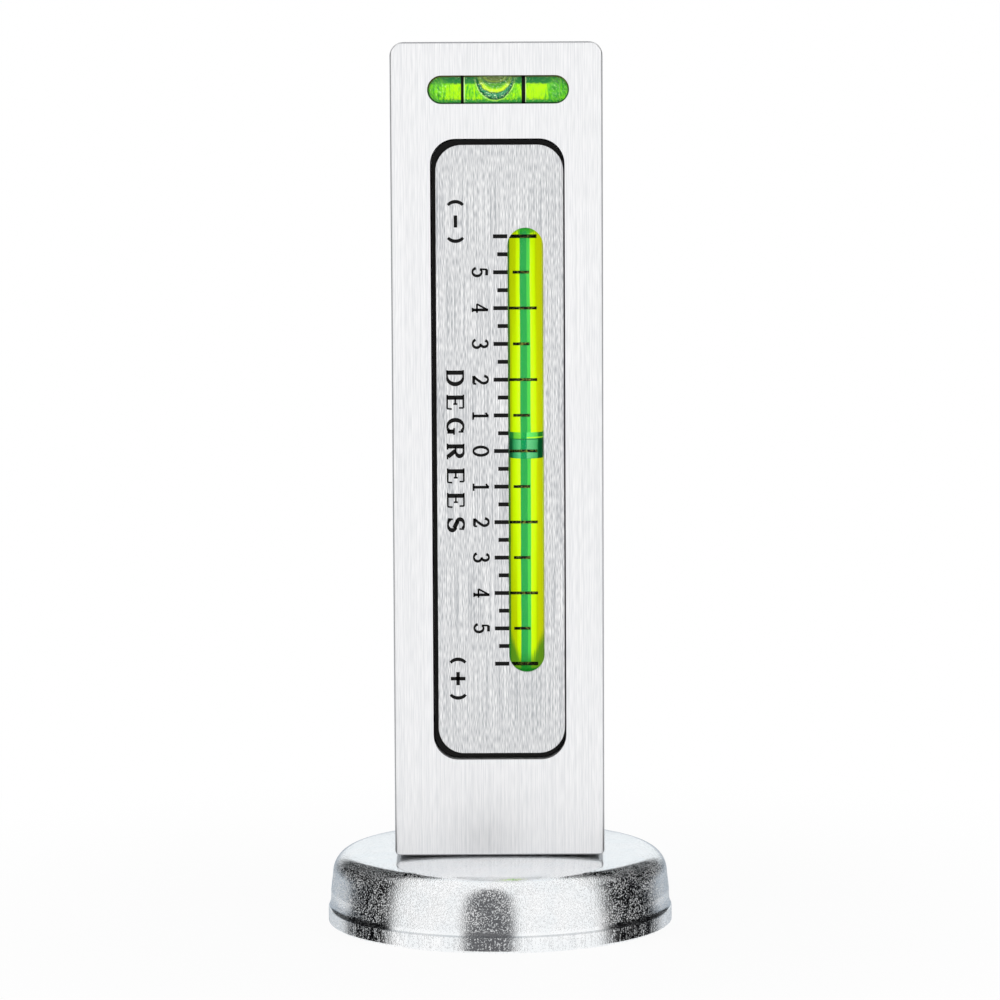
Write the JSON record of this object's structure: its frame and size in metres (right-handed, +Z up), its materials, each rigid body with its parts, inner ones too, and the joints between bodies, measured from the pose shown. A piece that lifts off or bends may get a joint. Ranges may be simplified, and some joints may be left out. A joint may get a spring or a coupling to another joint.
{
  "type": "camber gauge",
  "caption": "Magnetic camber gauge: a brushed aluminium bar with an arched degree vial behind a scale plate, a small cross level vial and a round pot-magnet base.",
  "frame": {"origin": "centre of the base's foot, in the plane of the cup's rim", "axes": "+Z up along the bar, away from the magnet; -Y out of the scale face; +X to the right of someone who reads the scale"},
  "size_m": [0.05, 0.05, 0.1272],
  "materials": {
    "brushed_aluminium": "satin",
    "scale_plate_metal": "satin",
    "adhesive_film": "matte",
    "black_plastic": "matte",
    "white_plastic": "satin",
    "clear_acrylic": "polished",
    "vial_plug_plastic": "satin",
    "yellow_green_fluid": "polished",
    "bubble_air": "polished",
    "plated_steel": "satin",
    "ferrite": "matte",
    "potting_resin": "satin"
  },
  "bodies": {
    "housing": {"bar_body": "brushed_aluminium", "vial_carrier": "black_plastic", "vial_reflector": "white_plastic", "scale_plate": "scale_plate_metal", "plate_adhesive": "adhesive_film", "camber_vial_tube": "clear_acrylic", "camber_vial_plug_top": "vial_plug_plastic", "camber_vial_plug_bottom": "vial_plug_plastic", "camber_vial_fluid": "yellow_green_fluid", "cross_vial_tube": "clear_acrylic", "cross_vial_plug": "vial_plug_plastic", "cross_vial_fluid": "yellow_green_fluid", "cross_vial_bed": "white_plastic", "base_cup": "plated_steel", "ring_magnet": "ferrite", "potting_ring_outer": "potting_resin", "potting_ring_inner": "potting_resin", "pole_core": "plated_steel", "base_screw": "plated_steel"},
    "camber_bubble_air": {"camber_bubble": "bubble_air"},
    "cross_bubble_air": {"cross_bubble": "bubble_air"}
  },
  "joints": [
    {"name": "camber_bubble_travel", "type": "hinge", "parent": "housing", "child": "camber_bubble_air", "pos_m": [0.004, 0.2846, 0.06935], "axis": [-1, 0, 0], "range_deg": [-6.45, 6.2], "deforming": ["camber_vial_fluid"]},
    {"name": "cross_bubble_travel", "type": "slide", "parent": "housing", "child": "cross_bubble_air", "axis": [1, 0, 0], "range_m": [-0.0044, 0.004], "deforming": ["cross_vial_fluid"]}
  ]
}
